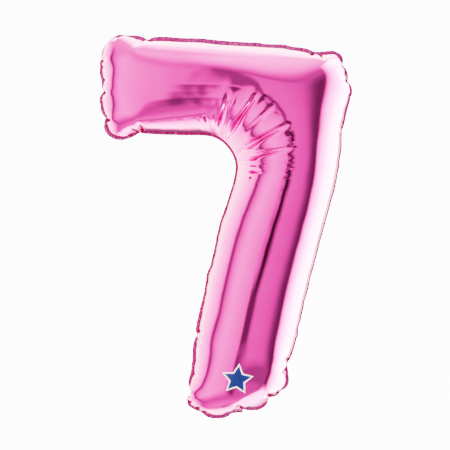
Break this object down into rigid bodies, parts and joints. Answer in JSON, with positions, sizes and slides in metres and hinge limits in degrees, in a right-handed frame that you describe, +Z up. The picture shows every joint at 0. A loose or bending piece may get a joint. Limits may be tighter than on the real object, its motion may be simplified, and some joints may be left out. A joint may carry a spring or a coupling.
{
  "type": "foil number balloon",
  "caption": "Inflated metallic foil balloon shaped as the numeral seven, with a heat-sealed rim, a flat self-closing valve inside and a folded filling tail.",
  "frame": {"origin": "middle of the crease where the filling tail leaves the bottom seam, at the outer edge of the seam, halfway between the two films", "axes": "+Z up along the numeral's height with its top edge level, +X to the right seen from the front, the front faces -Y"},
  "size_m": [0.2148, 0.0916, 0.3215],
  "materials": {
    "pink_foil": "mirror-bright vacuum-metallised film, tinted pink",
    "heat_seal": "welded film with a fine crimped grain, darker pink",
    "valve_film": "clear polyethylene film"
  },
  "bodies": {
    "balloon": {"front_film_panel": "pink_foil", "rear_film_panel": "pink_foil", "perimeter_heat_seal": "heat_seal", "valve_front_ply": "valve_film", "valve_rear_ply": "valve_film"},
    "tail": {"tail_front_film": "pink_foil", "tail_rear_film": "pink_foil", "tail_left_seal": "heat_seal", "tail_right_seal": "heat_seal"}
  },
  "joints": [
    {"name": "tail_fold", "type": "hinge", "parent": "balloon", "child": "tail", "pos_m": [0.00002, 0.0011, -0.00015], "axis": [-0.9867, 0, -0.1625], "range_deg": [0, 118]}
  ]
}
